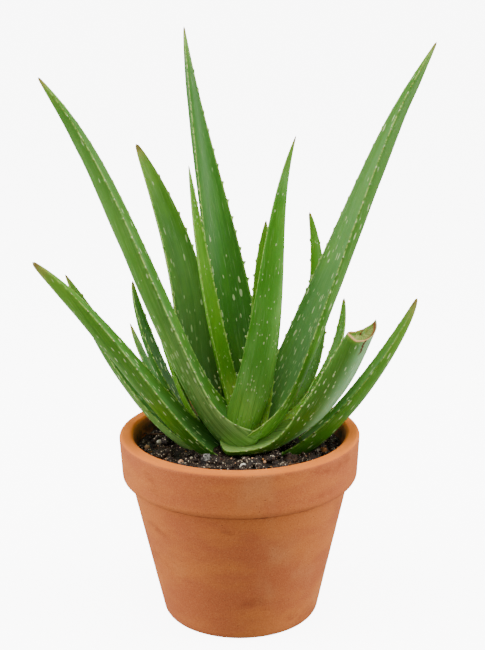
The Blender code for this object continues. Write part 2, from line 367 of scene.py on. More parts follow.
@dataclass(frozen=True)
class LeafSkin:
    """Waxy leaf skin with long pale spots, a pale margin line, cream teeth and a dry tip."""

    name: str
    slot: Slot = Slot.LEAF
    under: Colour = tint(114, 162, 68)
    under_deep: Colour = tint(64, 116, 24)
    inner: Colour = tint(84, 142, 50)
    inner_deep: Colour = tint(52, 112, 18)
    fresh: Colour = tint(98, 154, 8)
    # Root tone: paler root tissue and painted light where the crowded leaves shade the root; a dark tone
    # paints shade there instead.
    base: Colour = tint(166, 204, 122)
    base_strength: float = 0.5
    base_reach: float = 110.0
    base_outside: float = 1.0
    base_inside: float = 1.0
    tip_shade: float = 0.5
    striping: float = 0.5
    # Strength of a painted keel shade: a darker middle of the face between lighter sides.
    keel_shade: float = 0.0
    # Pale waxy bloom; the same colour paints a sheen along the channel and on one side of a cut leaf's
    # underside.
    bloom: Colour = tint(140, 186, 130)
    bloom_and_sheen_strength: float = 0.18
    spot: Colour = tint(188, 212, 146)
    margin: Colour = tint(168, 206, 104)
    margin_strength: float = 0.75
    tooth: Colour = tint(230, 234, 180)
    ripe: Colour = tint(116, 160, 40)
    olive: Colour = tint(136, 138, 58)
    dry: Colour = tint(118, 106, 48)
    spot_pitch: tuple[float, float] = (0.42, 0.105)  # spot cells per millimetre, across and along
    rough: float = 0.45
    wound: bool = False
    lip: Colour = tint(206, 164, 104)
    rust: Colour = tint(130, 74, 34)
    flesh_deep: Colour = tint(96, 118, 40)
    flesh: Colour = tint(150, 160, 84)
    split: Colour = tint(84, 42, 16)
    crack: float = -1.2  # millimetres from the keel to the crack below a cut

    def material(self) -> bpy.types.Material:
        """Build the material.

        Returns:
            The material.
        """
        board = Board(self.name)
        across, run, left = board.values("lay")
        rim, inner, tooth = board.values("mark")
        seed, spottiness, dry_length = board.values("habit")
        drift = board.cloud(board.vector(across * 0.03, run * 0.012, seed), 1.0, 3.0, 0.5)
        glow = board.cloud(board.vector(across * 0.05, run * 0.02, seed + 7.3), 1.0, 2.0, 0.5)
        fibre = board.cloud(board.vector(across * 1.6, run * 0.035, seed), 1.0, 4.0, 0.6)
        streak = board.cloud(board.vector(across * 2.6, run * 0.06, seed + 3.1), 1.0, 3.0, 0.55)
        stripe = board.cloud(board.vector(across * 0.42, run * 0.006, seed + 5.0), 1.0, 3.0, 0.6)
        spots = self._spots(board, (across, run, inner, rim), seed, spottiness)
        under = board.mix(drift.ease(0.35, 0.68), self.under_deep, self.under)
        above = board.mix(drift.ease(0.30, 0.70), self.inner_deep, self.inner)
        base_side = self.base_outside + inner * (self.base_inside - self.base_outside)
        # Pale band along the channel: waxy bloom with a painted sheen.
        channel_bloom_and_sheen = rim.ease(3.5, 8.0) * inner * (0.3 + fibre.ease(0.35, 0.65) * 0.7)
        notch = board.cloud(board.vector(seed, run * 0.35, inner), 1.0, 3.0, 0.6)
        mottle = board.cloud(board.vector(across * 0.7, run * 0.5, seed), 1.0, 3.0, 0.6)
        aged = left / dry_length + (mottle - 0.5) * 0.9
        colour = board.paint(board.mix(inner.ease(0.3, 0.7), under, above), (
            (glow.ease(0.50, 0.72) * 0.45, self.fresh),
            # Root tone: paler tissue with painted light in the light skins, painted shade in the dark
            # ones.
            (run.ease(self.base_reach, 15.0) * base_side * self.base_strength, self.base),
            # Painted shade towards the tip.
            (left.ease(190.0, 60.0) * self.tip_shade, self.under_deep),
            (fibre.ease(0.42, 0.66) * 0.5, self.under_deep),
            (stripe.ease(0.50, 0.64) * self.striping, self.under_deep),
            # Painted keel shade down the middle of the face.
            (rim.ease(3.5, 11.5) * run.ease(20.0, 60.0) * self.keel_shade, self.under_deep),
            # Waxy bloom and painted sheen along the channel.
            (channel_bloom_and_sheen * self.bloom_and_sheen_strength, self.bloom),
            (streak.ease(0.58, 0.76) * 0.32, self.spot),
            (spots * 0.74, self.spot),
            (rim.ease(1.15, 0.35) * notch.ease(0.36, 0.58) * self.margin_strength, self.margin),
            (tooth.ease(0.25, 0.70), self.tooth),
            ((left / dry_length).ease(5.5, 1.0) * 0.4, self.ripe),
            (aged.ease(1.6, 0.4) * 0.7, self.olive),
            (aged.ease(0.55, 0.05), self.dry),
        ))
        if self.wound:
            # Painted sheen: a pale reflection painted along one side of the underside.
            sheen = ((across - left * 0.05).ease(9.0, -4.0) * (1 - inner)
                     * (0.5 + fibre.ease(0.3, 0.6) * 0.5))
            colour = self._scar(board, board.mix(sheen * 0.9, colour, self.bloom), across, left)
        mote = board.cloud(board.vector(across * 2.6, run * 2.6, seed), 1.0, 2.0, 0.6)
        board.bump(fibre * 0.55 + spots * 0.35 + mote * 0.12, 0.00035, 0.45)
        rough = self.rough + (fibre - 0.5) * 0.22 + spots * 0.08 + aged.ease(1.0, 0.0) * 0.3
        return board.finish(colour, rough, Specular_IOR_Level=0.22, Subsurface_Weight=0.12,
                            Subsurface_Scale=0.003)

    def _spots(self, board: Board, skin: tuple[Wire, ...], seed: Wire, spottiness: Wire) -> Wire:
        """Long pale spots, laid along the leaf in loose bands.

        Args:
            board: The material's board.
            skin: Millimetres across and along, the face, and millimetres from the margin.
            seed: Number of the leaf.
            spottiness: Share of the cells that hold a spot.

        Returns:
            Mask of the spots.
        """
        across, run, inner, rim = skin
        wander = board.cloud(board.vector(across * 0.2, run * 0.05, seed + 1.7), 1.0, 2.0, 0.5)
        band = board.cloud(board.vector(across * 0.02, run * 0.06, seed + 2.9), 1.0, 2.0, 0.5)
        wide, long = self.spot_pitch
        grid = board.vector(across * wide + wander * 1.5 + seed, run * long + inner * 5.0, 0.0)
        near, lot, size = board.cells(grid, 1.0, flat=True)
        share = spottiness * (0.30 + band.ease(0.35, 0.65)) * (0.45 + run.ease(170.0, 50.0) * 0.9)
        chosen = (share - lot).ease(0.0, 0.06)
        return (0.14 + size * 0.18 - near).ease(0.0, 0.09) * chosen * rim.ease(0.9, 1.8)

    def _scar(self, board: Board, colour: Wire, across: Wire, left: Wire) -> Wire:
        """Dried cut: a tan lip, a rust line, dull flesh and a dark crack down the skin.

        Args:
            board: The material's board.
            colour: The skin's colour.
            across: Millimetres from the middle of the face.
            left: Millimetres from the cut; negative on the cut face.

        Returns:
            The colour with the scar.
        """
        pulp = board.cloud(board.vector(across * 1.2, left * 0.4, 4.0), 1.0, 3.0, 0.6)
        bend = board.cloud(board.vector(left * 0.16, 4.0, 0.0), 1.0, 3.0, 0.7)
        flesh = board.mix(pulp.ease(0.42, 0.60), self.flesh_deep, self.flesh)
        lip = left.ease(0.5, 0.2) * left.ease(-1.6, -1.0) * (0.35 + across.ease(-3.0, 1.0) * 0.65)
        crack = abs(across + self.crack + (bend - 0.5) * 6.0).ease(1.1, 0.4)
        return board.paint(colour, (
            (left.ease(-1.6, -2.4), flesh),
            (lip, self.lip),
            (left.ease(-1.2, -1.7) * left.ease(-2.5, -2.0), self.rust),
            (crack * left.ease(15.0, 11.0) * left.ease(-0.5, 0.3), self.split),
        ))


@dataclass(frozen=True)
class Crumbs:
    """Gritty crumbs of two tones with bright specks: potting mix, perlite, grit, bark or stem."""

    name: str
    slot: Slot
    dark: Colour
    light: Colour
    # Colour of the pale specks and palest crumbs: partly light grains, partly painted glints.
    glint: Colour
    scale: float = 500.0
    rough: float = 0.85
    glints: float = 0.10
    depth: float = 0.0006

    def material(self) -> bpy.types.Material:
        """Build the material.

        Returns:
            The material.
        """
        board = Board(self.name)
        here = board.place()
        clump = board.cloud(here, self.scale, 5.0, 0.65)
        broad = board.cloud(here, self.scale * 0.14, 2.0, 0.5)
        tone = clump * 0.7 + broad * 0.3
        # The palest crumbs take the glint colour: painted glints, with some light grains.
        stops = ((0.42, self.dark), (0.58, self.light), (0.68, self.glint))
        colour = board.node("ShaderNodeValToRGB", {"stops": stops}, {0: tone})
        near, lot, _ = board.cells(here, self.scale * 0.8)
        # Pale specks: partly light mineral grains, partly painted glints.
        grains_and_glints = near.ease(0.38, 0.20) * lot.ease(self.glints + 0.02, self.glints)
        colour = board.mix(grains_and_glints * 0.9, colour, self.glint)
        board.bump(clump + near * 0.35, self.depth, 0.8)
        return board.finish(colour, self.rough + (clump - 0.5) * 0.2, Specular_IOR_Level=0.35)


Finish = Clay | LeafSkin | Crumbs


@dataclass(frozen=True)
class Paper:
    """Plain pale floor."""

    name: str = "floor_paper"
    colour: Colour = (0.93, 0.93, 0.92)
    glow: float = 8.0

    def material(self) -> bpy.types.Material:
        """Build the material."""
        return Board(self.name).finish(self.colour, 0.95, Specular_IOR_Level=0.1,
                                       Emission_Color=(1.0, 1.0, 1.0, 1.0), Emission_Strength=self.glow)


MIX = Crumbs("damp_potting_mix", Slot.MIX, tint(8, 5, 3), tint(52, 33, 19), tint(196, 172, 138),
             800.0, 0.7, 0.13)
CLODS = Crumbs("damp_clods", Slot.MIX, tint(10, 6, 4), tint(62, 42, 26), tint(226, 210, 180), 850.0,
               0.65, 0.3)
PERLITE = Crumbs("perlite_grain", Slot.PERLITE, tint(176, 166, 142), tint(236, 230, 214),
                 tint(250, 246, 236), 620.0, 0.9, 0.16)
DUSTY = Crumbs("dusty_perlite", Slot.PERLITE, tint(44, 42, 38), tint(142, 140, 132), tint(232, 230, 222),
               700.0, 0.85, 0.3)
GRIT = Crumbs("pink_grit", Slot.PEBBLE, tint(156, 112, 82), tint(210, 164, 126), tint(232, 204, 176),
              520.0, 0.8, 0.14)
CHIP = Crumbs("bark_chip", Slot.BARK, tint(96, 58, 30), tint(176, 120, 68), tint(206, 168, 118),
              420.0, 0.85, 0.12)
CLUMP = Crumbs("brown_clump", Slot.BARK, tint(34, 22, 15), tint(84, 60, 42), tint(170, 142, 112),
               900.0, 0.85, 0.2)
FIBRE = Crumbs("root_fibre", Slot.BARK, tint(54, 34, 22), tint(112, 78, 50), tint(150, 116, 80),
               420.0, 0.85, 0.1)
OLD_STEM = Crumbs("old_stem", Slot.STEM, tint(86, 120, 30), tint(128, 158, 60), tint(160, 170, 90),
                  260.0, 0.6, 0.08)
# Root tones below: light ones are paler root tissue with painted light where the crowded leaves shade; the
# dark low, deep and broad tones paint shade.
OUTER_SKIN = LeafSkin("outer_leaf_skin", base=tint(174, 210, 128), base_strength=0.52,
                      base_reach=160.0, base_inside=0.0, tip_shade=0.75)
RIGHT_SKIN = LeafSkin("right_leaf_skin", base=tint(150, 196, 84), base_strength=0.7,
                      base_reach=70.0, base_inside=0.2, tip_shade=0.75)
LOW_SKIN = LeafSkin("low_leaf_skin", under=tint(86, 138, 32), under_deep=tint(50, 104, 10),
                    base=tint(44, 96, 8), base_reach=85.0, tip_shade=0.2, margin_strength=0.5)
FRESH_SKIN = LeafSkin("fresh_leaf_skin", under=tint(112, 168, 44), under_deep=tint(78, 140, 14),
                      inner=tint(110, 168, 34), inner_deep=tint(72, 136, 6), base=tint(176, 216, 84),
                      base_strength=0.8, base_reach=40.0, tip_shade=0.0, striping=0.2, bloom_and_sheen_strength=0.0,
                      spot_pitch=(0.62, 0.28))
FRONT_SKIN = replace(FRESH_SKIN, name="front_leaf_skin", under=tint(136, 194, 96),
                     under_deep=tint(60, 126, 8), inner=tint(104, 164, 34), inner_deep=tint(70, 134, 6),
                     fresh=tint(104, 164, 34), base=tint(170, 212, 74), base_strength=0.45,
                     base_reach=50.0, keel_shade=0.85)
DEEP_SKIN = LeafSkin("deep_leaf_skin", under=tint(60, 120, 14), under_deep=tint(40, 96, 4),
                     inner=tint(76, 136, 34), inner_deep=tint(44, 110, 4), base=tint(26, 78, 4),
                     base_strength=0.7, base_reach=90.0, bloom_and_sheen_strength=0.06)
BROAD_SKIN = LeafSkin("broad_leaf_skin", inner=tint(106, 154, 64), inner_deep=tint(74, 128, 34),
                      base=tint(34, 78, 10), base_strength=0.75, base_reach=140.0, tip_shade=0.0,
                      bloom_and_sheen_strength=0.1)
CUT_SKIN = LeafSkin("cut_leaf_skin", under=tint(78, 124, 34), under_deep=tint(46, 92, 4),
                    inner=tint(110, 164, 70), inner_deep=tint(76, 134, 36),
                    base=tint(190, 226, 120), base_strength=0.85, base_outside=0.0, tip_shade=0.3,
                    spot_pitch=(0.55, 0.16), margin_strength=0.6, wound=True)


# ---- Meshes ----


def put(name: str, data: bpy.types.ID) -> bpy.types.Object:
    """Put a mesh, a light or a camera into the scene.

    Args:
        name: The object's name.
        data: What it shows.

    Returns:
        The object.
    """
    made = bpy.data.objects.new(name, data)
    bpy.context.scene.collection.objects.link(made)
    return made


@dataclass
class Skin:
    """Points, faces and per-point values of a mesh in the making, in millimetres."""

    points: list = field(default_factory=list)
    faces: list = field(default_factory=list)
    values: dict = field(default_factory=dict)

    def add(self, points: np.ndarray, faces: list, **values: np.ndarray) -> None:
        """Append points and faces whose indices count from the first new point.

        Args:
            points: New points.
            faces: New faces.
            **values: Three numbers for each new point, by attribute name.
        """
        first = len(self.points)
        self.points.extend(map(tuple, np.asarray(points, float)))
        self.faces.extend(tuple(first + corner for corner in face) for face in faces)
        for name, rows in values.items():
            self.values.setdefault(name, []).extend(map(tuple, rows))

    def build(self, name: str) -> bpy.types.Object:
        """Make the object, with smooth faces turned outward.

        Args:
            name: The object's name.

        Returns:
            The object, linked to the scene.
        """
        mesh = bpy.data.meshes.new(name)
        mesh.from_pydata((np.array(self.points) * MM).tolist(), [], self.faces)
        shell = bmesh.new()
        shell.from_mesh(mesh)
        bmesh.ops.recalc_face_normals(shell, faces=shell.faces)
        shell.to_mesh(mesh)
        shell.free()
        for key, rows in self.values.items():
            store = mesh.attributes.new(key, "FLOAT_VECTOR", "POINT")
            store.data.foreach_set("vector", np.array(rows, np.float32).ravel())
        mesh.shade_smooth()
        return put(name, mesh)


def band_faces(rows: int, columns: int) -> list:
    """Quads between rings of equal size.

    Args:
        rows: Number of rings.
        columns: Points in each ring.

    Returns:
        The quads.
    """
    faces = []
    for row in range(rows - 1):
        for column in range(columns):
            after = (column + 1) % columns
            base = row * columns
            faces.append((base + column, base + columns + column, base + columns + after, base + after))
    return faces


def capped_faces(rows: int, columns: int) -> list:
    """Quads between rings, and a fan at each end to one of the two points that follow the rings.

    Args:
        rows: Number of rings.
        columns: Points in each ring.

    Returns:
        The faces.
    """
    last = (rows - 1) * columns
    around = [(here, (here + 1) % columns) for here in range(columns)]
    faces = band_faces(rows, columns)
    faces += [(rows * columns, after, here) for here, after in around]
    faces += [(rows * columns + 1, last + here, last + after) for here, after in around]
    return faces


def ring(centre: tuple, radius: float, z: float, steps: int) -> np.ndarray:
    """Points of a level circle.

    Args:
        centre: Its middle in X and Y.
        radius: Its radius.
        z: Its height.
        steps: Number of points.

    Returns:
        The points.
    """
    angles = np.linspace(0, 2 * math.pi, steps, endpoint=False)
    flat = (centre[0] + radius * np.cos(angles), centre[1] + radius * np.sin(angles))
    return np.stack((*flat, np.full(steps, z)), axis=1)


def search_tree(pieces: list[bpy.types.Object]) -> BVHTree:
    """Gather the faces of pieces, in metres, for distances to them.

    Args:
        pieces: The pieces.

    Returns:
        The search tree.
    """
    points, faces = [], []
    for piece in pieces:
        first = len(points)
        points += [vertex.co.copy() for vertex in piece.data.vertices]
        faces += [[first + corner for corner in face.vertices] for face in piece.data.polygons]
    return BVHTree.FromPolygons(points, faces)


@cache
def material_of(finish: Finish) -> bpy.types.Material:
    """Build a finish's material the first time that it is asked for."""
    return finish.material()


def dress(piece: bpy.types.Object, finish: Finish, node: str | None = None) -> bpy.types.Object:
    """Give a piece its finish and its place on the body, and hide the solid that it replaces.

    Args:
        piece: The new piece.
        finish: Its finish.
        node: The solid that it replaces, if any.

    Returns:
        The piece.
    """
    piece.data.materials.append(material_of(finish))
    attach(piece, BODY)
    if node:
        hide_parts(node)
    LOG.info("%s: %d faces, %s", piece.name, len(piece.data.polygons), finish.name)
    return piece


# ---- Pot ----


@dataclass(frozen=True)
class Pot:
    """Thrown clay pot: tapered body, rim band and drain hole."""

    rim_radius: float = 77.5
    height: float = 124.0
    band_height: float = 30.5
    band_draft: float = 1.7
    ledge: float = 5.3
    foot_radius: float = 49.8
    lip: float = 9.0
    wall: float = 6.5
    floor: float = 9.0
    drain_radius: float = 9.0
    turn_steps: int = 256
    row_pitch: float = 1.6
    fillet_steps: int = 7
    even_foot: float = 4.0  # height over which the unevenness of the clay starts
    inside_reach: float = 3.0  # depth behind the inner wall that still counts as inside
    finish: Clay = Clay()

    DENTS = (45, 60, 0.22)  # width, height and depth of broad dents
    DIMPLES = (9, 5, 0.07)  # the same of small ones
    THROWING = (1.9, 0.035)  # turn per millimetre of height and depth of the throwing rings
    PATCHES = 30  # width of the patches where the throwing rings show

    @property
    def band_foot(self) -> float:
        """Height of the rim band's lower edge."""
        return self.height - self.band_height

    @property
    def shoulder(self) -> float:
        """Radius of the body where the rim band starts."""
        return self.rim_radius - self.band_draft - self.ledge

    def inner_radius(self, z: float) -> float:
        """Radius of the inner wall at a height."""
        return float(np.interp(z, (self.floor, self.band_foot, self.height),
                               (self.foot_radius - self.wall, self.shoulder - self.wall,
                                self.rim_radius - self.lip)))

    def corners(self) -> tuple:
        """Corners of the turned outline as radius, height and fillet."""
        return (
            (self.drain_radius, 0, 1),
            (self.foot_radius, 0, 6),
            (self.shoulder, self.band_foot, 0.8),
            (self.rim_radius - self.band_draft, self.band_foot, 4.5),
            (self.rim_radius, self.height, 2.6),
            (self.rim_radius - self.lip, self.height, 3),
            (self.shoulder - self.wall, self.band_foot, 20),
            (self.foot_radius - self.wall, self.floor, 5),
            (self.drain_radius, self.floor, 1),
        )

    def outline(self) -> np.ndarray:
        """Closed outline with rounded corners and evenly spread points.

        Returns:
            Radius and height of each point.
        """
        corners = self.corners()
        arcs = []
        for i, (radius, z, fillet) in enumerate(corners):
            here = np.array((radius, z), float)
            back = np.array(corners[i - 1][:2]) - here
            ahead = np.array(corners[(i + 1) % len(corners)][:2]) - here
            back /= np.linalg.norm(back)
            ahead /= np.linalg.norm(ahead)
            half = math.acos(np.clip(back @ ahead, -1, 1)) / 2
            reach = fillet / math.tan(half)
            middle = here + (back + ahead) / np.linalg.norm(back + ahead) * fillet / math.sin(half)
            first = math.atan2(*(here + back * reach - middle)[::-1])
            sweep = math.atan2(*(here + ahead * reach - middle)[::-1]) - first
            sweep = (sweep + math.pi) % (2 * math.pi) - math.pi
            turns = first + sweep * np.linspace(0, 1, self.fillet_steps)
            arcs.append(middle + fillet * np.stack((np.cos(turns), np.sin(turns)), axis=1))
        outline = []
        for arc, following in zip(arcs, arcs[1:] + arcs[:1]):
            gap = np.linalg.norm(following[0] - arc[-1])
            steps = max(1, round(gap / self.row_pitch))
            between = np.linspace(arc[-1], following[0], steps + 1)[1:-1]
            outline.extend([*arc, *between])
        return np.array(outline)

    def wobble(self, points: np.ndarray) -> np.ndarray:
        """Radial unevenness of hand-finished clay.

        Args:
            points: Points of the turned shell.

        Returns:
            Outward shift of each point.
        """
        wide, high, dent = self.DENTS
        narrow, low, dimple = self.DIMPLES
        turn, depth = self.THROWING
        shift = []
        for x, y, z in points:
            broad = noise.noise(Vector((x / wide, y / wide, z / high)))
            fine = noise.noise(Vector((x / narrow, y / narrow, z / low + 7)))
            fade = 0.5 + 0.5 * noise.noise(Vector((x / self.PATCHES, y / self.PATCHES, 3)))
            throwing = math.sin(z * turn + 0.6 * broad) * fade
            shift.append(dent * broad + dimple * fine + depth * throwing)
        return np.array(shift)

    def build(self) -> None:
        """Turn and dress the pot."""
        outline = self.outline()
        columns = len(outline)
        angles = np.linspace(0, 2 * math.pi, self.turn_steps, endpoint=False)
        rays = np.stack((np.cos(angles), np.sin(angles)), axis=1)
        points = np.concatenate([np.column_stack((outline[:, :1] * ray, outline[:, 1])) for ray in rays])
        shift = self.wobble(points)
        level = np.clip(points[:, 2] / self.even_foot, 0, 1)
        length = np.linalg.norm(points[:, :2], axis=1)
        points[:, :2] *= (1 + shift * level / length)[:, None]
        walls = np.array([self.inner_radius(z) for z in points[:, 2]])
        inside = ((length < walls + self.inside_reach) & (points[:, 2] > self.floor - 1)).astype(float)
        marks = np.stack((self.height - points[:, 2], inside, np.zeros(len(points))), axis=1)
        faces = band_faces(self.turn_steps, columns)
        last = (self.turn_steps - 1) * columns
        faces += [(last + k, k, (k + 1) % columns, last + (k + 1) % columns) for k in range(columns)]
        skin = Skin()
        skin.add(points, faces, wall=marks)
        dress(skin.build("clay_pot"), self.finish, "pot")


# ---- Leaves ----


@dataclass(frozen=True)
class Teeth:
    """Small forward-hooked teeth along both margins."""

    height: float = 1.7
    pitch: float = 11.5
    half_base: float = 1.3
    hook: float = 0.55
    first: float = 14.0  # first tooth, from the root
    last: float = 16.0  # last tooth, from the tip
    rise: tuple[float, float] = (1.0, 1.0)  # heights on the left and right margins

    FIRST_SPREAD = (0, 6)
    PITCH_SPREAD = (0.82, 1.18)
    HEIGHT_SPREAD = (0.75, 1.15)
    EASE = 0.15  # extra width of a tooth's foot
    BESIDE = 0.22  # share of the pull that the skin beside the margin follows

    def places(self, length: float, seed: int) -> list[tuple[float, float]]:
        """Places and heights of the teeth on one margin, largest midway along the leaf.

        Args:
            length: The leaf's length.
            seed: Number of the margin.

        Returns:
            (run, height) pairs.
        """
        draw = np.random.default_rng(seed)
        run = self.first + draw.uniform(*self.FIRST_SPREAD)
        found = []
        while run < length - self.last:
            share = run / length
            size = self.height * (0.55 + 0.5 * math.sin(math.pi * min(1, share * 1.15)))
            found.append((run, size * draw.uniform(*self.HEIGHT_SPREAD)))
            run += self.pitch * (0.72 + 0.5 * share) * draw.uniform(*self.PITCH_SPREAD)
        return found


@dataclass
class Loft:
    """Rings of a leaf in the making, with what its finish reads at their points."""

    rings: np.ndarray
    side: np.ndarray  # signed length from the middle of the face
    rim: np.ndarray  # length from the nearest margin
    tooth: np.ndarray  # how much of a tooth each point is, 0 to 1
    left: np.ndarray  # length from each ring to the tip or the cut


@dataclass(frozen=True)
class Leaf:
    """One leaf, lofted along its midline, with its channel, margins, teeth and tip."""

    name: str
    midline: tuple
    facing: tuple
    width: float
    taper: float
    thickness: float = 0.36
    hollow: float = 0.15
    clasp: float = 8.0
    butt: float = 9.0  # length of the rounded root
    blunt: float = 0.12  # fullness of the tip
    seed: int = 1
    spots: float = 0.4
    dry_tip: float = 5.0
    skin: LeafSkin = OUTER_SKIN
    teeth: Teeth = Teeth()
    cut: bool = False

    RING_PITCH = 2.5
    BUTT_PITCH = 0.75
    TOOTH_RINGS = (-1, -0.45, 0, 0.45, 1)  # rings at a tooth, in halves of its base
    RING_SNAP = 0.25  # rings that fall on the same step are made once
    END_GAP = 0.4  # least room between the last two rings
    UNDER_STEPS = 22
    OVER_STEPS = 18
    PATH_STEPS = 500
    RELIEF = 0.4  # height of the flesh's unevenness
    RELIEF_LENGTH = 24
    RELIEF_WIDTH = 12  # narrower parts of a leaf are less uneven
    ROOT_START = 0.3
    CLASP_REACH = 26.0  # length over which the margins stop clasping the stem
    TIP_FRACTION = 0.985
    TIP_LENGTH = 1.5
    PLUMP_TIP = 0.6
    CUT_TAPER = 0.45
    CUT_SLANT = -6.0
    CUT_SCOOP = 5.0
    CUT_RAGGED = 1.2
    CUT_REACH = 32.0
    CUT_CLOSE = 1.0
    # Size, rise and length beyond the cut of each ring on its face.
    CUT_RINGS = ((0.95, 0.5, -1.0), (0.88, -0.6, -1.8), (0.6, -1.6, -3.0), (0.3, -2.0, -4.0))
    FAR_FROM_MARGIN = 9.0  # what the finish reads on the closed ends
    SEED_STEP = 11.7  # sets the marks of one leaf apart from those of the next

    @property
    def last(self) -> float:
        """Share of the midline that the rings reach."""
        return 1.0 if self.cut else self.TIP_FRACTION

    def path(self, runs: np.ndarray | None = None) -> tuple[np.ndarray, np.ndarray, np.ndarray]:
        """Places and directions along the midline.

        Args:
            runs: Lengths from the root at which they are wanted; even steps if not given.

        Returns:
            Places, directions and lengths from the root.
        """
        knots = np.linspace(0, 1, len(self.midline))
        curve = np.polyfit(knots, np.array(self.midline, float), len(self.midline) - 1)
        steps = np.linspace(0, self.last, self.PATH_STEPS)
        places = np.polyval(curve, steps[:, None])
        legs = np.linalg.norm(np.diff(places, axis=0), axis=1)
        run = np.concatenate(([0.0], np.cumsum(legs)))
        if runs is not None:
            steps = np.interp(runs, run, steps)
            places = np.polyval(curve, steps[:, None])
            run = runs
        slopes = curve[:-1] * np.arange(len(curve) - 1, 0, -1)[:, None]
        ways = np.polyval(slopes, steps[:, None])
        return places, ways / np.linalg.norm(ways, axis=1)[:, None], run

    def section(self) -> tuple[np.ndarray, np.ndarray, np.ndarray, np.ndarray]:
        """Closed section in shares of the leaf's width.

        Returns:
            Place across, -1 to 1; depth of the underside; depth of the channel; 1 on its face.
        """
        under = self.spread(self.UNDER_STEPS)
        over = self.spread(self.OVER_STEPS)[1:-1]
        s = np.concatenate((-np.cos(under), np.cos(over)))
        depth = np.concatenate((-np.sin(under), np.zeros(len(over))))
        channel = np.concatenate((np.zeros(len(under)), -np.sin(over) ** 2))
        return s, depth, channel, np.concatenate((np.zeros(len(under)), np.ones(len(over))))

    @staticmethod
    def spread(steps: int) -> np.ndarray:
        """Angles from 0 to half a turn in steps that are closer together at both margins."""
        share = np.linspace(0, 1, steps + 1)
        return math.pi * (0.5 * share + 0.25 * (1 - np.cos(math.pi * share)))

    def ring_runs(self, length: float, teeth: list[tuple[float, float]]) -> np.ndarray:
        """Lengths at which rings are made: an even pitch, and closer ones at each tooth.

        Args:
            length: The leaf's length.
            teeth: (run, height) pairs of both margins.

        Returns:
            The lengths, in order.
        """
        runs = [*np.arange(0, self.butt, self.BUTT_PITCH), *np.arange(self.butt, length, self.RING_PITCH)]
        for centre, _ in teeth:
            runs += [centre + share * self.teeth.half_base for share in self.TOOTH_RINGS]
        snapped = {round(run / self.RING_SNAP) * self.RING_SNAP for run in runs}
        return np.array([*sorted(run for run in snapped if 0 <= run < length - self.END_GAP), length])

    def relief(self, runs: np.ndarray, s: np.ndarray, inner: np.ndarray) -> np.ndarray:
        """Gentle unevenness of the flesh, fading out at the margins.

        Args:
            runs: Lengths of the rings.
            s: Place across, -1 to 1.
            inner: 1 on the channel's face.

        Returns:
            Height of each point.
        """
        rows = [[noise.noise(Vector((side * 1.6 + face * 9, run / self.RELIEF_LENGTH, self.seed)))
                 for side, face in zip(s, inner)] for run in runs]
        return self.RELIEF * np.array(rows) * np.sqrt(np.clip(1 - s ** 2, 0, 1))

    def measure(self, rings: np.ndarray) -> tuple[np.ndarray, np.ndarray]:
        """Lengths along each ring.

        Args:
            rings: Points by ring.

        Returns:
            Signed length from the middle of the face, and length from the nearest margin.
        """
        closed = np.concatenate((rings, rings[:, :1]), axis=1)
        legs = np.linalg.norm(np.diff(closed, axis=1), axis=2)
        turn = np.concatenate((np.zeros((len(rings), 1)), np.cumsum(legs, axis=1)), axis=1)
        corner = turn[:, self.UNDER_STEPS:self.UNDER_STEPS + 1]
        under = turn[:, :self.UNDER_STEPS + 1] - corner / 2
        over = (turn[:, -1:] + corner) / 2 - turn[:, self.UNDER_STEPS + 1:-1]
        half_over = (turn[:, -1:] - corner) / 2
        rim = np.concatenate((corner / 2 - abs(under), half_over - abs(over)), axis=1)
        return np.concatenate((under, over), axis=1), rim

    def push_teeth(self, loft: Loft, runs: np.ndarray, sides: list, across: np.ndarray,
                   way: np.ndarray) -> None:
        """Pull the teeth out of both margins.

        Args:
            loft: The leaf in the making.
            runs: Lengths of the rings.
            sides: (run, height) pairs of the left and right margins.
            across: Directions across the leaf.
            way: Directions along the leaf.
        """
        rings, tooth = loft.rings, loft.tooth
        count = rings.shape[1]
        reach = self.teeth.half_base + self.teeth.EASE
        for teeth, column, sign, share in zip(sides, (0, self.UNDER_STEPS), (-1, 1), self.teeth.rise):
            pull = sign * across + self.teeth.hook * way
            for centre, full in teeth:
                height = full * share
                rise = np.clip(1 - abs(runs - centre) / reach, 0, 1)
                rings[:, column] += pull * (height * rise)[:, None]
                for beside in (column - 1, column + 1):
                    rings[:, beside % count] += pull * (self.teeth.BESIDE * height * rise)[:, None]
                tooth[:, column] = np.maximum(tooth[:, column], rise * share)

    def slant_end(self, loft: Loft, s: np.ndarray, depth: np.ndarray, way: np.ndarray) -> None:
        """Lean the cut end, so that one corner and the channel's skin stand further out.

        Args:
            loft: The leaf in the making.
            s: Place across, -1 to 1.
            depth: Depth of the underside, 0 to -1.
            way: Directions along the leaf.
        """
        fade = np.clip(1 - loft.left / self.CUT_REACH, 0, 1) ** 2
        ragged = np.array([noise.noise(Vector((side * 2.7, 3.3, self.seed))) for side in s])
        lean = self.CUT_SLANT * s + self.CUT_SCOOP * depth + self.CUT_RAGGED * ragged
        loft.rings += (fade[:, None] * lean)[..., None] * way[:, None]

    def close_cut(self, loft: Loft, way: np.ndarray) -> None:
        """Add the shrunken face of the cut.

        Args:
            loft: The leaf in the making.
            way: Direction along the leaf at the cut.
        """
        edge = loft.rings[-1]
        middle = edge.mean(axis=0)
        face = [middle + (edge - middle) * size + way * rise for size, rise, _ in self.CUT_RINGS]
        loft.rings = np.concatenate((loft.rings, face))
        loft.left = np.concatenate((loft.left, [left for *_, left in self.CUT_RINGS]))
        loft.side, loft.rim, loft.tooth = (
            np.concatenate((rows, rows[-1:].repeat(len(face), axis=0)))
            for rows in (loft.side, loft.rim, loft.tooth))
        loft.rim[-len(face):] = self.FAR_FROM_MARGIN

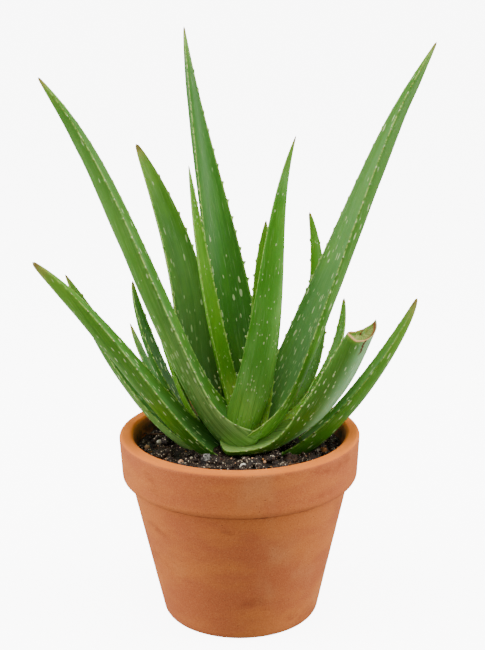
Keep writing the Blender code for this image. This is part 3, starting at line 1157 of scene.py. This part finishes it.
    def build(self) -> bpy.types.Object:
        """Loft and dress the leaf.

        Returns:
            The leaf.
        """
        length = self.path()[2][-1]
        sides = [self.teeth.places(length, self.seed * 2 + side) for side in (0, 1)]
        place, way, runs = self.path(self.ring_runs(length, sides[0] + sides[1]))
        share = runs / length * self.last
        bearing = np.radians(np.interp(share, np.linspace(0, 1, len(self.facing)), self.facing))
        inward = np.stack((np.cos(bearing), np.sin(bearing), np.ones(len(runs))), axis=1)
        inward -= way * np.sum(inward * way, axis=1)[:, None]
        inward /= np.linalg.norm(inward, axis=1)[:, None]
        across = np.cross(way, inward)
        butt = np.sqrt(1 - (1 - np.clip((runs + self.ROOT_START) / self.butt, 0, 1)) ** 2)
        narrowing = 1 - (self.CUT_TAPER if self.cut else 1.0) * share ** self.taper
        width = butt * self.width * narrowing ** (1 - self.blunt * share ** 6)
        clasp = butt * self.clasp * np.exp(-(runs / self.CLASP_REACH) ** 2)
        s, depth, channel, inner = self.section()
        plump = self.thickness * (1 + self.PLUMP_TIP * share ** 4)
        q = width[:, None] * (plump[:, None] * depth + self.hollow * channel) + clasp[:, None] * s ** 2
        q += self.relief(runs, s, inner) * np.minimum(1, width / self.RELIEF_WIDTH)[:, None]
        rings = (place[:, None] + ((width / 2)[:, None] * s)[..., None] * across[:, None]
                 + q[..., None] * inward[:, None])
        loft = Loft(rings, *self.measure(rings), np.zeros(rings.shape[:2]), length - runs)
        self.push_teeth(loft, runs, sides, across, way)
        if self.cut:
            self.slant_end(loft, s, depth, way)
            self.close_cut(loft, way[-1])
        return dress(self.skin_over(loft, length, inner, way[-1]), self.skin, f"leaf_{self.name}")

    def skin_over(self, loft: Loft, length: float, inner: np.ndarray, way: np.ndarray) -> bpy.types.Object:
        """Join the rings, close both ends and store what the finish reads.

        Args:
            loft: The leaf in the making.
            length: The leaf's length.
            inner: 1 on the channel's face.
            way: Direction along the leaf at its end.

        Returns:
            The leaf's object.
        """
        rings = loft.rings
        rows, count = rings.shape[:2]
        reach = np.repeat(loft.left[:, None], count, axis=1)
        lay = np.stack((loft.side, length - reach, reach), axis=2).reshape(-1, 3)
        face = np.repeat(inner[None], rows, axis=0)
        mark = np.stack((loft.rim, face, loft.tooth), axis=2).reshape(-1, 3)
        tip = rings[-1].mean(axis=0) + way * (-self.TIP_LENGTH if self.cut else self.TIP_LENGTH)
        ends = np.array((rings[0].mean(axis=0), tip))
        end_lay = np.array(((0.0, 0.0, length), (0.0, length, loft.left[-1] - self.CUT_CLOSE)))
        end_mark = np.array(((self.FAR_FROM_MARGIN, 0.0, 0.0), (self.FAR_FROM_MARGIN, 0.5, 0.0)))
        skin = Skin()
        habit = np.tile((self.seed * self.SEED_STEP, self.spots, self.dry_tip), (rows * count + 2, 1))
        skin.add(np.concatenate((rings.reshape(-1, 3), ends)), capped_faces(rows, count),
                 lay=np.concatenate((lay, end_lay)), mark=np.concatenate((mark, end_mark)), habit=habit)
        return skin.build(f"aloe_leaf_{self.name}")


SMALL_TEETH = Teeth(height=1.4, pitch=8.5, half_base=1.1, first=12.0, last=12.0)
CUT_TEETH = Teeth(last=5.0)
FRONT_TEETH = Teeth(height=1.8, pitch=11.0, last=120.0, rise=(0.0, 1.0))

LEAVES = (
    Leaf("centre_left", ((2, 8, 126), (-12, 9, 183), (-22, 9, 239), (-30, 8, 296)), (-40, -50), 14, 2.5,
         0.41, clasp=0, seed=4, spots=0.2, dry_tip=2, skin=FRESH_SKIN, teeth=SMALL_TEETH),
    Leaf("centre_small", ((10, 6, 126), (15, 8, 171), (16, 12, 214), (18, 16, 259)), (270, 270), 17, 3.8,
         seed=7, spots=0.25, dry_tip=2, skin=FRESH_SKIN, teeth=SMALL_TEETH),
    Leaf("front", ((0, 1, 116), (17, -6, 198), (24, -10, 261), (36, -14, 317)), (80, 115), 25, 1.7,
         0.23, clasp=12, seed=6, spots=0.19, skin=FRONT_SKIN, teeth=FRONT_TEETH),
    Leaf("tallest", ((4, 12, 124), (-2, 22, 189), (-12, 32, 251), (-23, 42, 313), (-33, 52, 379)),
         (260, 345), 30, 2.1, 0.41, seed=3, spots=0.18, skin=DEEP_SKIN),
    Leaf("broad_left", ((4, 10, 122), (-24, 20, 157), (-30, 30, 198), (-44, 38, 254), (-65, 44, 304)),
         (-40, -65), 30, 3.0, 0.32, clasp=0, blunt=0.25, seed=5, spots=0.4, dry_tip=8, skin=BROAD_SKIN),
    Leaf("back_right", ((12, 12, 121), (42, 28, 155), (52, 44, 206), (47, 56, 256)), (235, 220), 25, 1.9,
         0.24, clasp=13, blunt=0.3, seed=8, spots=0.3, dry_tip=2, skin=FRESH_SKIN),
    Leaf("long_right", ((3, 2, 117), (28, 5, 159), (51, 9, 215), (74, 13, 272), (94, 18, 318),
                        (126, 24, 372)), (210, 175), 39, 3.4, 0.30, clasp=14, butt=18, seed=2,
         skin=RIGHT_SKIN),
    Leaf("long_left", ((11, 0, 117), (-16, -6, 147), (-40, -12, 202), (-62, -18, 257), (-84, -22, 306),
                       (-118, -26, 356)), (-6, -4, -6, -6, -8), 28, 3.0, 0.50, clasp=16, seed=1),
    Leaf("slip", ((-2, 8, 114), (-27, 8, 130), (-43, 10, 168), (-56, 12, 201)), (35, -40), 11, 2.7, 0.40,
         clasp=0, blunt=0.25, seed=16, spots=0.2, dry_tip=2, skin=FRESH_SKIN, teeth=SMALL_TEETH),
    Leaf("back_left", ((-2, 12, 112), (-34, 25, 130), (-58, 33, 176), (-69, 38, 214)), (30, -40), 20, 2.5,
         0.40, clasp=3, blunt=0.25, seed=14, dry_tip=3, skin=DEEP_SKIN),
    Leaf("back_short", ((12, 8, 114), (42, 26, 136), (62, 42, 161), (70, 50, 199)), (160, 215), 14, 4.0,
         0.29, blunt=0.35, seed=9, dry_tip=2, skin=FRESH_SKIN, teeth=SMALL_TEETH),
    Leaf("cut", ((-12, -8, 123), (32, -16, 133), (58, -26, 166), (75, -32, 202)),
         (186, 176, 138, 126, 120), 35, 3.1, 0.26, clasp=0, seed=10, spots=0.3, dry_tip=1, skin=CUT_SKIN,
         teeth=CUT_TEETH, cut=True),
    Leaf("low_right", ((12, 0, 106), (49, -4, 127), (85, -8, 170), (111, -10, 214)), (155, 190), 31, 2.4,
         0.35, clasp=0, blunt=0.3, seed=11, spots=0.35, dry_tip=11, skin=LOW_SKIN),
    Leaf("low_left", ((-1, -4, 111), (-30, -14, 133), (-51, -24, 162), (-71, -34, 192), (-94, -41, 222),
                      (-122, -46, 248)), (-15, 15), 26, 4.0, 0.44, clasp=0, blunt=0.3, seed=12, dry_tip=10,
         skin=LOW_SKIN),
    Leaf("under_left", ((-2, 2, 107), (-46, 6, 131), (-82, 10, 178), (-110, 12, 226)), (-10, -40), 24, 2.8,
         0.39, clasp=4, seed=13),
    Leaf("young", ((-4, 18, 111), (-36, 44, 122), (-58, 57, 145), (-74, 64, 179)), (80, -35), 16, 4.0,
         0.20, clasp=4, seed=15, skin=DEEP_SKIN, teeth=SMALL_TEETH),
)


@dataclass(frozen=True)
class Stem:
    """Short old stem that the leaves grow from, partly under the soil."""

    centre: tuple = (6.0, 6.0)
    radius: float = 9.0
    foot: float = 70.0
    top: float = 129.0
    steps: int = 72
    row_pitch: float = 1.2
    scar_depth: float = 0.35
    scar_width: float = 7.0
    scar_pitch: float = 1.6
    scar_margin: float = 0.4
    top_profile: tuple = ((-1.0, -0.8), (-3.0, 0.0))  # radius and height from the stem's own
    top_reach: float = 2.0
    finish: Crumbs = OLD_STEM

    def build(self) -> bpy.types.Object:
        """Make and dress the stem.

        Returns:
            The stem.
        """
        straight = np.arange(self.foot, self.top - self.top_reach, self.row_pitch)
        profile = [(self.radius, z) for z in straight]
        profile += [(self.radius + inset, self.top + drop) for inset, drop in self.top_profile]
        points = np.concatenate([ring(self.centre, radius, z, self.steps) for radius, z in profile])
        middle = np.array(self.centre)
        for point in points:
            x, y, z = point
            where = Vector((x / self.scar_width, y / self.scar_width, z / self.scar_pitch))
            radius = self.radius - self.scar_margin + self.scar_depth * noise.noise(where)
            point[:2] = middle + (point[:2] - middle) * (radius / self.radius)
        caps = np.array(((*self.centre, self.foot), (*self.centre, self.top)))
        skin = Skin()
        skin.add(np.concatenate((points, caps)), capped_faces(len(profile), self.steps))
        return dress(skin.build("aloe_stem"), self.finish, "stem")


# ---- Soil ----


GRAIN_BODY = 0.84  # mean radius of a grain, as a share of half its size


def lump(size: tuple, detail: int, seed: float, craggy: float) -> tuple[np.ndarray, list]:
    """An uneven grain around the origin.

    Args:
        size: Its lengths along X, Y and Z.
        detail: Subdivisions of the ball that it is made from.
        seed: Number of its shape.
        craggy: How uneven it is, as a share of its radius.

    Returns:
        Points and faces.
    """
    ball = bmesh.new()
    bmesh.ops.create_icosphere(ball, subdivisions=detail, radius=1.0)
    points = []
    for vertex in ball.verts:
        way = vertex.co.normalized()
        coarse = noise.noise(way * 1.3 + Vector((seed, 0, 0)))
        fine = noise.noise(way * 3.4 + Vector((0, seed, 0)))
        crisp = noise.noise(way * 7.0 + Vector((0, 0, seed)))
        points.append(way * (GRAIN_BODY + craggy * (coarse * 0.8 + fine * 0.4 + crisp * 0.25)))
    faces = [tuple(vertex.index for vertex in face.verts) for face in ball.faces]
    ball.free()
    return np.array(points) * np.array(size) / 2, faces


@dataclass(frozen=True)
class Soil:
    """Plug of crumbly potting mix that fills the pot to just under the rim."""

    pot: Pot = Pot()
    level: float = 112.0
    lump_height: float = 1.6
    lump_size: float = 16.0
    mound: float = 3.0
    mound_reach: float = 42.0
    crumb_sizes: tuple = ((6.5, 1.9), (3.1, 1.0), (1.6, 0.45))  # width and height, coarse to fine
    crumb_base: float = 1.2  # how far the gaps between crumbs lie under the level
    calm_edge: float = 2.0  # width of the smoother edge at the pot's wall
    clearance: float = 0.3
    grid: int = 170
    wall_steps: int = 10
    finish: Crumbs = MIX

    @property
    def edge(self) -> float:
        """Radius of the soil's surface."""
        return self.pot.inner_radius(self.level) - self.clearance

    def height(self, x: float, y: float) -> float:
        """Level of the surface without its crumbs.

        Args:
            x: Place from left to right.
            y: Place from front to back.

        Returns:
            The height.
        """
        reach = math.hypot(x, y)
        slope = min(1.0, max(0.0, (self.edge - reach) / self.lump_size))
        lumps = noise.noise(Vector((x / self.lump_size, y / self.lump_size, 0.5)))
        mound = self.mound * math.exp(-(reach / self.mound_reach) ** 2)
        return self.level + self.lump_height * lumps * slope + mound

    def crumbs(self, x: float, y: float) -> float:
        """Height of the crumbs themselves over the level.

        Args:
            x: Place from left to right.
            y: Place from front to back.

        Returns:
            The height.
        """
        total = 0.0
        for cell, rise in self.crumb_sizes:
            near, spots = noise.voronoi(Vector((x / cell, y / cell, cell)))
            lot = 0.5 + 0.5 * noise.noise(spots[0] * 2.3)
            total += rise * lot * max(0.0, 1.0 - 1.7 * near[0] ** 2)
        return total - self.crumb_base

    def build(self) -> None:
        """Make and dress the plug."""
        side = np.linspace(-1, 1, self.grid)
        points = []
        for v in side:
            for u in side:
                x = u * math.sqrt(1 - v * v / 2) * self.edge
                y = v * math.sqrt(1 - u * u / 2) * self.edge
                calm = min(1.0, max(0.0, (self.edge - math.hypot(x, y)) / self.calm_edge))
                points.append((x, y, self.height(x, y) + self.crumbs(x, y) * calm))
        n = self.grid
        corners = [row * n + k for row in range(n - 1) for k in range(n - 1)]
        faces = [(first, first + 1, first + n + 1, first + n) for first in corners]
        rim = [*range(n - 1), *range(n - 1, n * n - 1, n), *range(n * n - 1, n * n - n, -1),
               *range(n * n - n, 0, -n)]
        above = rim
        for z in np.linspace(self.level, self.pot.floor + self.clearance, self.wall_steps)[1:]:
            radius = self.pot.inner_radius(z) - self.clearance
            first = len(points)
            for corner in rim:
                way = np.array(points[corner][:2]) / math.hypot(*points[corner][:2])
                points.append((*(way * radius), z))
            below = list(range(first, first + len(rim)))
            faces += zip(above, below, below[1:] + below[:1], above[1:] + above[:1])
            above = below
        faces.append(tuple(above))
        skin = Skin()
        skin.add(np.array(points), faces)
        dress(skin.build("soil_plug"), self.finish, "soil")


@dataclass(frozen=True)
class Grain:
    """One named grain that lies on the soil."""

    node: str
    place: tuple
    size: tuple
    turn: float
    finish: Crumbs
    craggy: float = 0.3
    detail: int = 4
    rise: float = 0.25  # height of its middle over the soil, as a share of its own height

    def build(self, soil: Soil) -> None:
        """Make and dress the grain.

        Args:
            soil: The soil that it lies on.
        """
        seed = self.place[0] * 0.37 + self.place[1] * 0.11
        points, faces = lump(self.size, self.detail, seed, self.craggy)
        turned = points @ np.array(Matrix.Rotation(-math.radians(self.turn), 3, "Z"))
        centre = (*self.place, soil.height(*self.place) + self.rise * self.size[2])
        skin = Skin()
        skin.add(turned + centre, faces)
        dress(skin.build(f"grain_{self.node}"), self.finish, self.node)


GRAINS = (
    Grain("perlite_front", (2, -39), (5, 4, 4), 20, PERLITE),
    Grain("perlite_front_left", (-21, -27), (8, 6, 5), 60, DUSTY, 0.45),
    Grain("perlite_left", (-52, 5), (5, 4, 4), 10, PERLITE),
    Grain("perlite_right", (46, -8), (5, 4, 4), 35, PERLITE),
    Grain("perlite_far_right", (59, 18), (4, 4, 3), 0, PERLITE),
    Grain("perlite_back", (22, 52), (6, 5, 4), 50, PERLITE),
    Grain("pebble_left", (-37, -29), (5, 4, 4), 70, GRIT, 0.18),
    Grain("pebble_far_left", (-60, -3), (5, 4, 4), 15, GRIT, 0.18),
    Grain("pebble_front", (8, -29), (5, 4, 4), 0, GRIT, 0.18),
    Grain("bark_front", (17, -30), (7, 4, 3), 25, CHIP, 0.4),
    Grain("bark_clump", (32, -25), (10, 8, 7), 0, CLUMP, 0.5),
    Grain("bark_right", (54, -10), (7, 4, 4), 120, CHIP, 0.4),
    Grain("bark_back", (-14, 54), (9, 6, 4), 150, CLUMP, 0.4),
)


@dataclass(frozen=True)
class Scatter:
    """Loose grains of one kind, strewn over the soil as one piece."""

    name: str
    count: int
    small: float
    large: float
    finish: Crumbs
    seed: int
    flat: float = 0.75
    craggy: float = 0.35
    sink: float = 0.25
    detail: int = 2

    EDGE_GAP = 0.55  # room to the pot's wall, as a share of a grain's size
    LEAF_GAP = 0.4  # room to the leaves, likewise
    BEDDING = 0.8  # share of the crumbs' height that a grain follows
    TILT = 0.5
    SMALL_BIAS = 2.5
    LENGTH_SPREAD = (0.9, 1.1)
    WIDTH_SPREAD = (0.65, 0.95)
    SHAPES = (0, 90)

    def build(self, soil: Soil, leaves: BVHTree) -> None:
        """Strew and dress the grains.

        Args:
            soil: The soil that they lie on.
            leaves: What they keep clear of.
        """
        draw = np.random.default_rng(self.seed)
        skin = Skin()
        placed = 0
        while placed < self.count:
            size = self.small + (self.large - self.small) * draw.random() ** self.SMALL_BIAS
            angle = draw.uniform(0, 2 * math.pi)
            reach = math.sqrt(draw.random()) * (soil.edge - size * self.EDGE_GAP)
            x, y = reach * math.cos(angle), reach * math.sin(angle)
            bed = soil.height(x, y) + soil.crumbs(x, y) * self.BEDDING
            z = bed + size * self.flat * (0.5 - self.sink)
            turn = Matrix.Rotation(draw.uniform(0, 2 * math.pi), 3, "Z")
            spin = turn @ Matrix.Rotation(draw.uniform(-self.TILT, self.TILT), 3, "X")
            shape = (size * draw.uniform(*self.LENGTH_SPREAD), size * draw.uniform(*self.WIDTH_SPREAD),
                     size * self.flat)
            if leaves.find_nearest(Vector((x, y, z)) * MM)[3] < size * self.LEAF_GAP * MM:
                continue
            points, faces = lump(shape, self.detail, draw.uniform(*self.SHAPES), self.craggy)
            skin.add(points @ np.array(spin).T + (x, y, z), faces)
            placed += 1
        dress(skin.build(self.name), self.finish)


@dataclass(frozen=True)
class Fibres:
    """Thin brown fibres and twigs lying on the soil."""

    count: int = 24
    sides: int = 7
    rings: int = 9
    seed: int = 77
    edge_gap: float = 9.0
    end_gap: float = 2.0
    leaf_gap: float = 0.6  # room to the leaves, as a share of a fibre's length
    lengths: tuple = (4, 12)
    radii: tuple = (0.25, 0.5)
    bow: float = 0.16
    lift: float = 1.0
    arch: float = 0.5
    finish: Crumbs = FIBRE
    long_ones: tuple = (((-66, 24), (-47, 19), 0.7), ((-30, -46), (-15, -49), 0.5),
                        ((22, -44), (36, -37), 0.5), ((40, 16), (57, 28), 0.6))

    def build(self, soil: Soil, leaves: BVHTree) -> None:
        """Lay and dress the fibres.

        Args:
            soil: The soil that they lie on.
            leaves: What they keep clear of.
        """
        draw = np.random.default_rng(self.seed)
        runs = list(self.long_ones)
        while len(runs) < self.count:
            angle, way = draw.uniform(0, 2 * math.pi, 2)
            reach = math.sqrt(draw.random()) * (soil.edge - self.edge_gap)
            start = (reach * math.cos(angle), reach * math.sin(angle))
            length = draw.uniform(*self.lengths)
            end = (start[0] + length * math.cos(way), start[1] + length * math.sin(way))
            middle = Vector(((start[0] + end[0]) / 2, (start[1] + end[1]) / 2, soil.level + 1))
            room = leaves.find_nearest(middle * MM)[3]
            if math.hypot(*end) < soil.edge - self.end_gap and room > length * self.leaf_gap * MM:
                runs.append((start, end, draw.uniform(*self.radii)))
        skin = Skin()
        for start, end, radius in runs:
            self.lay(skin, soil, (np.array(start, float), np.array(end, float)), radius, draw)
        dress(skin.build("bark_fibres"), self.finish)

    def lay(self, skin: Skin, soil: Soil, ends: tuple, radius: float, draw: np.random.Generator) -> None:
        """Add one fibre.

        Args:
            skin: The piece in the making.
            soil: The soil that it lies on.
            ends: Its two ends in X and Y.
            radius: Its thickest radius.
            draw: Source of chance.
        """
        start, end = ends
        side = np.array((start[1] - end[1], end[0] - start[0])) * draw.uniform(-self.bow, self.bow)
        points = []
        for share in np.linspace(0, 1, self.rings):
            x, y = start + (end - start) * share + side * math.sin(math.pi * share)
            z = soil.height(x, y) + self.lift + radius + self.arch * math.sin(math.pi * share)
            way = np.array((*(end - start), 0.0))
            across = np.array((-way[1], way[0], 0.0)) / np.linalg.norm(way)
            thick = radius * (0.35 + 0.65 * math.sin(math.pi * (0.1 + 0.8 * share)))
            for turn in np.linspace(0, 2 * math.pi, self.sides, endpoint=False):
                points.append(np.array((x, y, z)) + across * thick * math.cos(turn)
                              + np.array((0, 0, thick * math.sin(turn))))
        faces = band_faces(self.rings, self.sides)
        faces.append(tuple(range(self.sides)))
        faces.append(tuple(range((self.rings - 1) * self.sides, self.rings * self.sides)))
        skin.add(np.array(points), faces)


SCATTERS = (
    Scatter("coarse_clods", 210, 4.0, 9.5, CLODS, 10, 0.85, 0.55, 0.22, 3),
    Scatter("loose_clods", 1300, 1.1, 4.5, CLODS, 11, craggy=0.45),
    Scatter("loose_perlite", 80, 1.2, 4.0, PERLITE, 22, detail=3),
    Scatter("loose_grit", 110, 1.2, 4.2, GRIT, 33, craggy=0.2, detail=3),
    Scatter("loose_bark", 60, 1.4, 5.0, CHIP, 44, 0.4, 0.45, detail=3),
)


# ---- Studio ----


@dataclass(frozen=True)
class Lamp:
    """A soft square light that looks at the plant."""

    name: str
    place: tuple
    size: float
    power: float
    aim: tuple = (0.0, 0.0, 0.18)

    def build(self) -> None:
        """Hang the light."""
        light = bpy.data.lights.new(self.name, "AREA")
        light.size = self.size
        light.energy = self.power
        lamp = put(self.name, light)
        lamp.location = self.place
        way = Vector(self.aim) - lamp.location
        lamp.rotation_euler = way.to_track_quat("-Z", "Y").to_euler()


@dataclass(frozen=True)
class Studio:
    """Pale floor, soft lights and the camera."""

    floor_half: float = 14.0
    backdrop: float = 8.0
    paper: Paper = Paper()
    sky: float = 0.66
    lamps: tuple = (
        Lamp("left_softbox", (-1.05, -0.08, 0.5), 0.8, 17.0),
        Lamp("right_softbox", (1.05, -0.08, 0.5), 0.8, 16.0),
        Lamp("top_softbox", (0.0, -0.3, 1.5), 0.9, 16.0),
    )
    camera_x: float = 0.0025
    aim_height: float = 0.1942
    distance: float = 0.8902
    pitch: float = math.radians(15.656)
    roll: float = math.radians(-0.5)
    lens: float = 78.07
    sensor: float = 36.0

    def build(self) -> None:
        """Set up floor, lights, world and camera."""
        self.lay_floor()
        for lamp in self.lamps:
            lamp.build()
        world = bpy.data.worlds.new("studio_air")
        world.use_nodes = True
        background = world.node_tree.nodes["Background"]
        background.inputs["Color"].default_value = (1.0, 1.0, 1.0, 1.0)
        background.inputs["Strength"].default_value = self.sky
        bpy.context.scene.world = world
        self.set_camera()

    def lay_floor(self) -> None:
        """Lay the floor and turn its edges up as a backdrop."""
        half = self.floor_half
        corners = ((-half, -half), (half, -half), (half, half), (-half, half))
        points = [(x, y, z) for z in (0.0, self.backdrop) for x, y in corners]
        walls = [(k, (k + 1) % 4, (k + 1) % 4 + 4, k + 4) for k in range(4)]
        mesh = bpy.data.meshes.new("studio_floor")
        mesh.from_pydata(points, [], [(0, 1, 2, 3), *walls])
        mesh.materials.append(self.paper.material())
        floor = put("studio_floor", mesh)
        floor.visible_diffuse = False
        floor.visible_glossy = False
        floor.visible_shadow = False

    def set_camera(self) -> None:
        """Place the camera and make it the scene's own."""
        ahead = Vector((0.0, math.cos(self.pitch), -math.sin(self.pitch)))
        level = Vector((1.0, 0.0, 0.0))
        above = Vector((0.0, math.sin(self.pitch), math.cos(self.pitch)))
        right = level * math.cos(self.roll) + above * math.sin(self.roll)
        up = above * math.cos(self.roll) - level * math.sin(self.roll)
        data = bpy.data.cameras.new("studio_camera")
        data.lens = self.lens
        data.sensor_width = self.sensor
        camera = put("studio_camera", data)
        turn = Matrix((right, up, -ahead)).transposed().to_4x4()
        place = Vector((self.camera_x, 0.0, self.aim_height)) - ahead * self.distance
        camera.matrix_world = Matrix.Translation(place) @ turn
        bpy.context.scene.camera = camera


# ---- Build ----


def main() -> None:
    """Build and dress the plant, then set up the studio."""
    logging.basicConfig(level=logging.INFO, format="%(name)s: %(message)s")
    Pot().build()
    green = [piece.build() for piece in (*LEAVES, Stem())]
    soil = Soil()
    soil.build()
    leaves = search_tree(green)
    for grain in GRAINS:
        grain.build(soil)
    for loose in (*SCATTERS, Fibres()):
        loose.build(soil, leaves)
    Studio().build()


if __name__ == "__main__":
    main()
